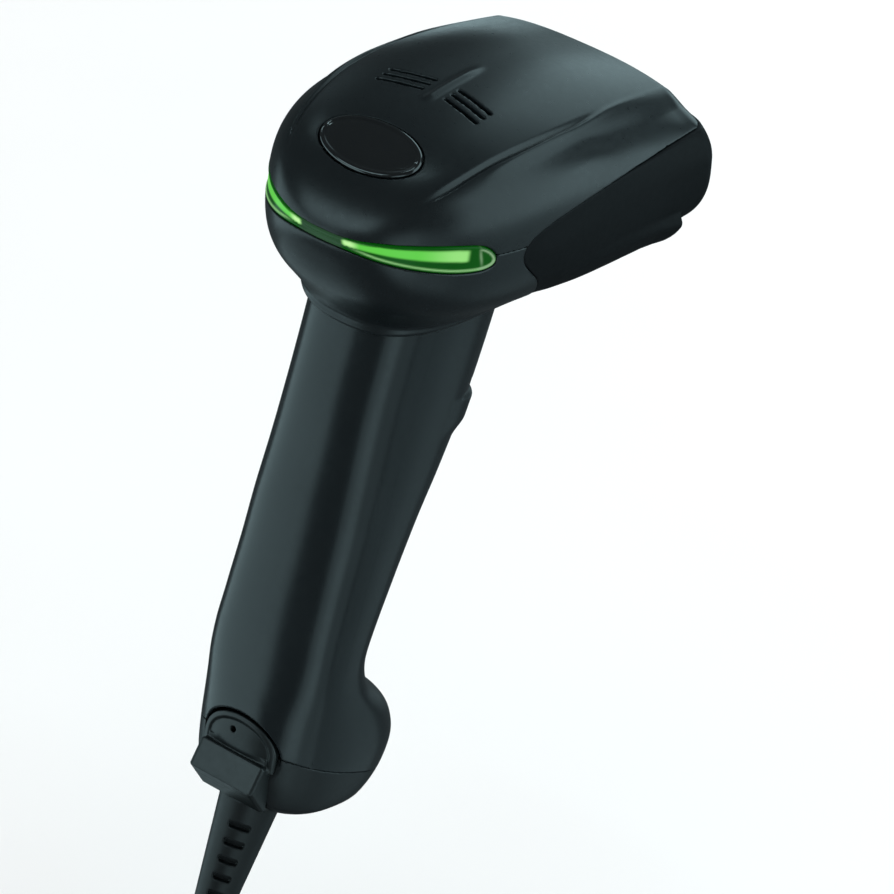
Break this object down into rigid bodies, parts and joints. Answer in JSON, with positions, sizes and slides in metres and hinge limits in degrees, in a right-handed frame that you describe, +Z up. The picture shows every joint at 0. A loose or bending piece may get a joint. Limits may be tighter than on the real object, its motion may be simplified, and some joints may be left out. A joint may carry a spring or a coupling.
{
  "type": "handheld barcode scanner",
  "caption": "Handheld imaging barcode scanner with a rounded head, green light ring at the rear, rubber nose, angled trigger grip and a ribbed, unpluggable cable.",
  "frame": {"origin": "on the mid-plane, in the middle of the neck where the head meets the handle, where a stand fork or hook carries the scanner", "axes": "+Z up with the head level, the reading window faces -Y, +X is the left side of the scanner as its user holds it"},
  "size_m": [0.0712, 0.1182, 0.2238],
  "materials": {
    "shell": "fine spark texture, satin",
    "trigger": "satin",
    "bumper": "soft matte",
    "ring": "frosted green light pipe",
    "badge": "polished",
    "plug_shell": "satin",
    "relief": "matte",
    "cable_skin": "matte",
    "wires": "insulated wire",
    "steel": "zinc plated",
    "switch_plastic": "moulded",
    "plunger": "moulded",
    "circuit_board": "solder mask",
    "chip": "moulded epoxy",
    "shield": "tinned",
    "led": "phosphor",
    "flex": "polyimide",
    "engine": "black anodised",
    "lens": "coated",
    "window": "clear acrylic",
    "window_trim": "matte",
    "seal": "matte",
    "socket": "moulded",
    "contact": "gold flash",
    "clear_plug": "clear"
  },
  "bodies": {
    "scanner": {"top_cover": "shell", "lower_head_shell": "shell", "handle_rear_shell": "shell", "handle_front_shell": "shell", "base_cap": "shell", "nose_bumper": "bumper", "light_ring": "ring", "badge_plate": "badge", "trigger_pin": "steel", "trigger_spring": "steel", "housing_screws": "steel", "board_screws": "steel", "switch_body": "switch_plastic", "switch_base": "switch_plastic", "handle_board": "circuit_board", "main_board": "circuit_board", "indicator_board": "circuit_board", "sensor_board": "circuit_board", "illumination_board": "circuit_board", "board_chips": "chip", "buzzer": "chip", "image_sensor": "chip", "shield_can": "shield", "vent_mesh": "shield", "indicator_leds": "led", "illumination_leds": "led", "ribbon_cable": "flex", "engine_chassis": "engine", "lens_barrel": "engine", "aimer_tube": "engine", "front_lens": "lens", "aimer_lens": "lens", "led_lenses": "lens", "scan_window": "window", "window_frame": "window_trim", "window_seal": "seal", "cable_socket": "socket", "socket_contacts": "contact"},
    "trigger": {"trigger": "trigger"},
    "switch_plunger": {"switch_plunger": "plunger"},
    "cable_plug": {"plug_body": "plug_shell", "modular_plug": "clear_plug", "plug_contacts": "contact", "strain_relief": "relief"},
    "plug_latch": {"plug_latch": "clear_plug"},
    "cable": {"cable_jacket": "cable_skin", "cable_conductors": "wires"}
  },
  "joints": [
    {"name": "trigger_pivot", "type": "hinge", "parent": "scanner", "child": "trigger", "pos_m": [0, -0.009, -0.005], "axis": [1, 0, 0], "range_deg": [0, 4.5], "deforming": ["trigger_spring"]},
    {"name": "plunger_slide", "type": "slide", "parent": "scanner", "child": "switch_plunger", "axis": [0, 0.9806, 0.1959], "range_m": [0, 0.001]},
    {"name": "cable_plug_slide", "type": "slide", "parent": "scanner", "child": "cable_plug", "axis": [0, 0.3209, -0.9471], "range_m": [0, 0.028]},
    {"name": "latch_flex", "type": "hinge", "parent": "cable_plug", "child": "plug_latch", "pos_m": [0, 0.02426, -0.09099], "axis": [-1, 0, 0], "range_deg": [0, 5]},
    {"name": "cable_flex", "type": "hinge", "parent": "cable_plug", "child": "cable", "pos_m": [0, 0.03336, -0.1331], "axis": [1, 0, 0], "range_deg": [-25, 25], "deforming": ["strain_relief"]}
  ],
  "couplings": [
    {"joint": "plunger_slide", "follows": "trigger_pivot", "m_per_rad": 0.01262}
  ]
}
